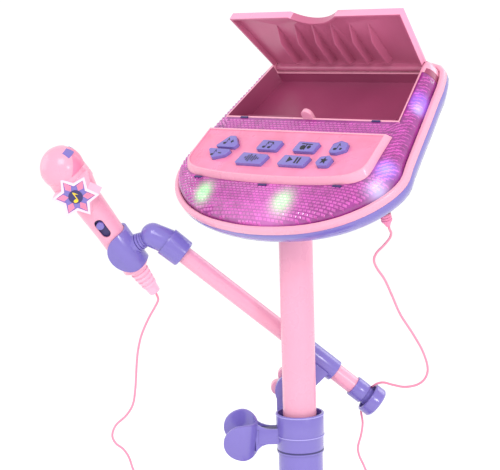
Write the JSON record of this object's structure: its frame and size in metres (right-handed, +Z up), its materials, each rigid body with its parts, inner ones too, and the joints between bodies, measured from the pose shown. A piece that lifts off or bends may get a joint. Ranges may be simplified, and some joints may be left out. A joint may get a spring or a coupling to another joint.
{
  "type": "children's karaoke microphone stand",
  "caption": "Telescopic stand on a round base with a tilted music console, flip-up lid over a phone tub, and a boom arm holding a corded microphone in a clip.",
  "frame": {"origin": "on the floor, at the centre of the base and under the column", "axes": "+Z up along the column; -Y is the side the console faces"},
  "size_m": [0.342, 0.305, 0.8364],
  "materials": {
    "purple_plastic": "satin",
    "pink_plastic": "satin",
    "deep_pink_plastic": "satin",
    "magenta_lens": "ribbed translucent",
    "white_plastic": "matte",
    "rubber": "matte",
    "steel": "plain",
    "board": "lacquered",
    "light": "clear",
    "black_plastic": "matte",
    "cord": "matte"
  },
  "bodies": {
    "stand": {"base_shell": "purple_plastic", "base_ring": "pink_plastic", "base_weight": "steel", "base_cover": "purple_plastic", "base_feet": "rubber", "base_screws": "steel", "base_socket": "purple_plastic", "lower_tube": "purple_plastic", "guide_bush": "white_plastic"},
    "mast": {"upper_tube": "pink_plastic", "tube_foot": "white_plastic", "tube_socket": "purple_plastic", "lower_shell": "purple_plastic", "top_housing": "pink_plastic", "light_lens": "magenta_lens", "control_panel": "deep_pink_plastic", "button_membrane": "rubber", "button_board": "board", "main_board": "board", "light_boards": "board", "lights": "light", "speaker": "black_plastic", "battery_contacts": "steel", "battery_cells": "steel", "mic_jacks": "black_plastic", "console_screws": "steel", "cord_plug": "deep_pink_plastic", "cord_upper": "cord"},
    "battery_door": {"battery_door": "purple_plastic"},
    "power_switch": {"power_switch": "black_plastic"},
    "button_up": {"button_up": "purple_plastic"},
    "button_down": {"button_down": "purple_plastic"},
    "button_top_left": {"button_top_left": "purple_plastic"},
    "button_top_right": {"button_top_right": "purple_plastic"},
    "button_top_round": {"button_top_round": "purple_plastic"},
    "button_low_left": {"button_low_left": "purple_plastic"},
    "button_low_right": {"button_low_right": "purple_plastic"},
    "button_low_round": {"button_low_round": "purple_plastic"},
    "lid": {"phone_lid": "pink_plastic"},
    "collar": {"collar": "purple_plastic", "spare_clip": "purple_plastic", "pivot_bolt": "steel"},
    "sleeve": {"boom_sleeve": "purple_plastic", "sleeve_lug": "purple_plastic"},
    "knob": {"tilt_knob": "pink_plastic"},
    "boom": {"boom_tube": "pink_plastic", "boom_end_cap": "purple_plastic", "boom_elbow": "purple_plastic", "cord_lower": "cord"},
    "clip": {"mic_clip": "purple_plastic", "clip_pin": "steel"},
    "mic": {"mic_barrel": "pink_plastic", "mic_head": "pink_plastic", "mic_grille": "purple_plastic", "mic_badge": "deep_pink_plastic", "mic_capsule": "black_plastic", "mic_tail": "deep_pink_plastic"},
    "mic_switch": {"mic_switch": "purple_plastic"}
  },
  "joints": [
    {"name": "mast_slide", "type": "slide", "parent": "stand", "child": "mast", "axis": [0, 0, 1], "range_m": [-0.015, 0.12], "deforming": ["cord_upper", "cord_lower"]},
    {"name": "button_up_press", "type": "slide", "parent": "mast", "child": "button_up", "axis": [0, 0.6428, -0.766], "range_m": [0, 0.0015], "stiffness_N_per_m": 600, "springref_m": -0.001},
    {"name": "button_down_press", "type": "slide", "parent": "mast", "child": "button_down", "axis": [0, 0.6428, -0.766], "range_m": [0, 0.0015], "stiffness_N_per_m": 600, "springref_m": -0.001},
    {"name": "button_top_left_press", "type": "slide", "parent": "mast", "child": "button_top_left", "axis": [0, 0.6428, -0.766], "range_m": [0, 0.0015], "stiffness_N_per_m": 600, "springref_m": -0.001},
    {"name": "button_top_right_press", "type": "slide", "parent": "mast", "child": "button_top_right", "axis": [0, 0.6428, -0.766], "range_m": [0, 0.0015], "stiffness_N_per_m": 600, "springref_m": -0.001},
    {"name": "button_top_round_press", "type": "slide", "parent": "mast", "child": "button_top_round", "axis": [0, 0.6428, -0.766], "range_m": [0, 0.0015], "stiffness_N_per_m": 600, "springref_m": -0.001},
    {"name": "button_low_left_press", "type": "slide", "parent": "mast", "child": "button_low_left", "axis": [0, 0.6428, -0.766], "range_m": [0, 0.0015], "stiffness_N_per_m": 600, "springref_m": -0.001},
    {"name": "button_low_right_press", "type": "slide", "parent": "mast", "child": "button_low_right", "axis": [0, 0.6428, -0.766], "range_m": [0, 0.0015], "stiffness_N_per_m": 600, "springref_m": -0.001},
    {"name": "button_low_round_press", "type": "slide", "parent": "mast", "child": "button_low_round", "axis": [0, 0.6428, -0.766], "range_m": [0, 0.0015], "stiffness_N_per_m": 600, "springref_m": -0.001},
    {"name": "lid_hinge", "type": "hinge", "parent": "mast", "child": "lid", "pos_m": [0, 0.08094, 0.78309], "axis": [1, 0, 0], "range_deg": [-8, 84]},
    {"name": "battery_door_slide", "type": "slide", "parent": "mast", "child": "battery_door", "axis": [0, 0.6428, -0.766], "range_m": [0, 0.06]},
    {"name": "power_slide", "type": "slide", "parent": "mast", "child": "power_switch", "axis": [1, 0, 0], "range_m": [0, 0.004]},
    {"name": "collar_swivel", "type": "hinge", "parent": "stand", "child": "collar", "pos_m": [0, 0, 0.453], "axis": [0, 0, 1], "range_deg": [-30, 30], "deforming": ["cord_upper", "cord_lower"]},
    {"name": "boom_tilt", "type": "hinge", "parent": "collar", "child": "sleeve", "pos_m": [-0.02971, 0.02429, 0.48636], "axis": [-0.6782, 0.7349, 0], "range_deg": [-25, 4], "deforming": ["cord_upper", "cord_lower"]},
    {"name": "knob_turn", "type": "hinge", "parent": "collar", "child": "knob", "pos_m": [-0.02971, 0.02429, 0.48636], "axis": [-0.6782, 0.7349, 0], "continuous": true},
    {"name": "boom_slide", "type": "slide", "parent": "sleeve", "child": "boom", "axis": [0.5646, 0.521, -0.6401], "range_m": [-0.02, 0.04], "deforming": ["cord_upper", "cord_lower"]},
    {"name": "clip_swivel", "type": "hinge", "parent": "boom", "child": "clip", "pos_m": [-0.15014, -0.07323, 0.62], "axis": [0.8421, 0.3351, 0.4226], "range_deg": [-30, 30], "deforming": ["cord_lower"]},
    {"name": "mic_lift", "type": "slide", "parent": "clip", "child": "mic", "axis": [-0.1952, -0.541, 0.818], "range_m": [0, 0.12], "deforming": ["cord_lower"]},
    {"name": "mic_switch_slide", "type": "slide", "parent": "mic", "child": "mic_switch", "axis": [-0.1952, -0.541, 0.818], "range_m": [-0.007, 0.0015]}
  ]
}
